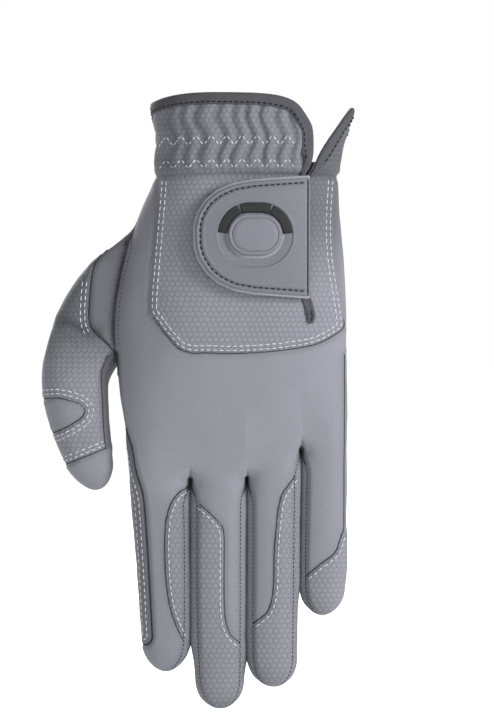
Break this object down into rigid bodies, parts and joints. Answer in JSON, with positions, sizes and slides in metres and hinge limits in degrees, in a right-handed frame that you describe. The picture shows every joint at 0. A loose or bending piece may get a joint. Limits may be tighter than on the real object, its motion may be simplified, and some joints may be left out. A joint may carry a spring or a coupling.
{
  "type": "golf glove",
  "caption": "Left-hand sports glove with separate finger sleeves, stitched knit overlays, an elastic cuff slit at the wrist and a hook-and-loop closure tab.",
  "frame": {"origin": "centre of the flat pad on the palm, on its outer face", "axes": "+Z from the fingertips towards the cuff, +Y out of the palm, +X towards the little finger"},
  "size_m": [0.1204, 0.0492, 0.2351],
  "materials": {
    "stretch_fabric": "fine knit, matt, mid grey",
    "honeycomb_fabric": "embossed honeycomb, matt, mid grey",
    "palm_leather": "soft synthetic leather, low sheen, grey",
    "binding": "folded dark tape",
    "moulded_rubber": "moulded, satin, grey",
    "dark_rubber": "moulded, matt, near black",
    "elastic": "woven elastic",
    "hook_and_loop": "hook-and-loop pile"
  },
  "bodies": {
    "hand": {"back_panel": "stretch_fabric", "palm_panel": "palm_leather", "upper_back_panel": "honeycomb_fabric", "thumb_base": "honeycomb_fabric", "thumb_gusset": "stretch_fabric", "thumb_gusset_palm": "palm_leather", "cuff_back": "honeycomb_fabric", "cuff_palm": "honeycomb_fabric", "wrist_elastic_lower": "elastic", "wrist_elastic_upper": "elastic", "binding_back": "binding", "binding_slit": "binding", "binding_palm": "binding", "palm_pad": "palm_leather", "loop_patch": "hook_and_loop"},
    "tab": {"tab_lining": "honeycomb_fabric", "tab_outer": "moulded_rubber", "hook_patch": "hook_and_loop", "badge_button": "moulded_rubber", "badge_inlay": "dark_rubber"},
    "index_upper": {"index_back_upper": "stretch_fabric", "index_palm_upper": "palm_leather", "index_fourchette_right_upper": "stretch_fabric", "index_overlay_upper": "honeycomb_fabric"},
    "index_lower": {"index_back_lower": "stretch_fabric", "index_palm_lower": "palm_leather", "index_fourchette_right_lower": "stretch_fabric", "index_overlay_lower": "honeycomb_fabric"},
    "middle_upper": {"middle_back_upper": "stretch_fabric", "middle_palm_upper": "palm_leather", "middle_fourchette_left_upper": "stretch_fabric", "middle_fourchette_right_upper": "stretch_fabric", "middle_overlay_upper": "honeycomb_fabric"},
    "middle_lower": {"middle_back_lower": "stretch_fabric", "middle_palm_lower": "palm_leather", "middle_fourchette_left_lower": "stretch_fabric", "middle_fourchette_right_lower": "stretch_fabric", "middle_overlay_lower": "honeycomb_fabric"},
    "ring_upper": {"ring_back_upper": "stretch_fabric", "ring_palm_upper": "palm_leather", "ring_fourchette_left_upper": "stretch_fabric", "ring_fourchette_right_upper": "stretch_fabric", "ring_overlay_upper": "honeycomb_fabric"},
    "ring_lower": {"ring_back_lower": "stretch_fabric", "ring_palm_lower": "palm_leather", "ring_fourchette_left_lower": "stretch_fabric", "ring_fourchette_right_lower": "stretch_fabric", "ring_overlay_lower": "honeycomb_fabric"},
    "little_upper": {"little_back_upper": "stretch_fabric", "little_palm_upper": "palm_leather", "little_fourchette_left_upper": "stretch_fabric"},
    "little_lower": {"little_back_lower": "stretch_fabric", "little_palm_lower": "palm_leather", "little_fourchette_left_lower": "stretch_fabric", "little_overlay_lower": "honeycomb_fabric"},
    "thumb_upper": {"thumb_back_upper": "honeycomb_fabric", "thumb_palm_upper": "palm_leather"},
    "thumb_lower": {"thumb_back_lower": "honeycomb_fabric", "thumb_palm_lower": "palm_leather", "thumb_knuckle_patch": "stretch_fabric"}
  },
  "joints": [
    {"name": "tab_hinge", "type": "hinge", "parent": "hand", "child": "tab", "pos_m": [0.02943, -0.04034, 0.06907], "axis": [0, 0, 1], "range_deg": [0, 150]},
    {"name": "index_root", "type": "hinge", "parent": "hand", "child": "index_upper", "pos_m": [-0.0298, -0.0068, -0.0236], "axis": [1, 0, 0], "range_deg": [0, 75]},
    {"name": "index_knuckle", "type": "hinge", "parent": "index_upper", "child": "index_lower", "pos_m": [-0.02827, -0.00573, -0.058], "axis": [1, 0, 0], "range_deg": [0, 85]},
    {"name": "middle_root", "type": "hinge", "parent": "hand", "child": "middle_upper", "pos_m": [-0.0069, -0.0066, -0.0236], "axis": [1, 0, 0], "range_deg": [0, 75]},
    {"name": "middle_knuckle", "type": "hinge", "parent": "middle_upper", "child": "middle_lower", "pos_m": [-0.00697, -0.00553, -0.063], "axis": [1, 0, 0], "range_deg": [0, 85]},
    {"name": "ring_root", "type": "hinge", "parent": "hand", "child": "ring_upper", "pos_m": [0.014, -0.0066, -0.0206], "axis": [1, 0, 0], "range_deg": [0, 75]},
    {"name": "ring_knuckle", "type": "hinge", "parent": "ring_upper", "child": "ring_lower", "pos_m": [0.01375, -0.00572, -0.059], "axis": [1, 0, 0], "range_deg": [0, 85]},
    {"name": "little_root", "type": "hinge", "parent": "hand", "child": "little_upper", "pos_m": [0.0336, -0.0068, -0.0126], "axis": [1, 0, 0], "range_deg": [0, 75]},
    {"name": "little_knuckle", "type": "hinge", "parent": "little_upper", "child": "little_lower", "pos_m": [0.03324, -0.00619, -0.042], "axis": [1, 0, 0], "range_deg": [0, 85]},
    {"name": "thumb_root", "type": "hinge", "parent": "hand", "child": "thumb_upper", "pos_m": [-0.05859, -0.00402, 0.03058], "axis": [0.7526, 0, -0.6585], "range_deg": [0, 40]},
    {"name": "thumb_knuckle", "type": "hinge", "parent": "thumb_upper", "child": "thumb_lower", "pos_m": [-0.0618, -0.00263, 0.01171], "axis": [0.9988, 0, 0.0499], "range_deg": [0, 50]}
  ]
}
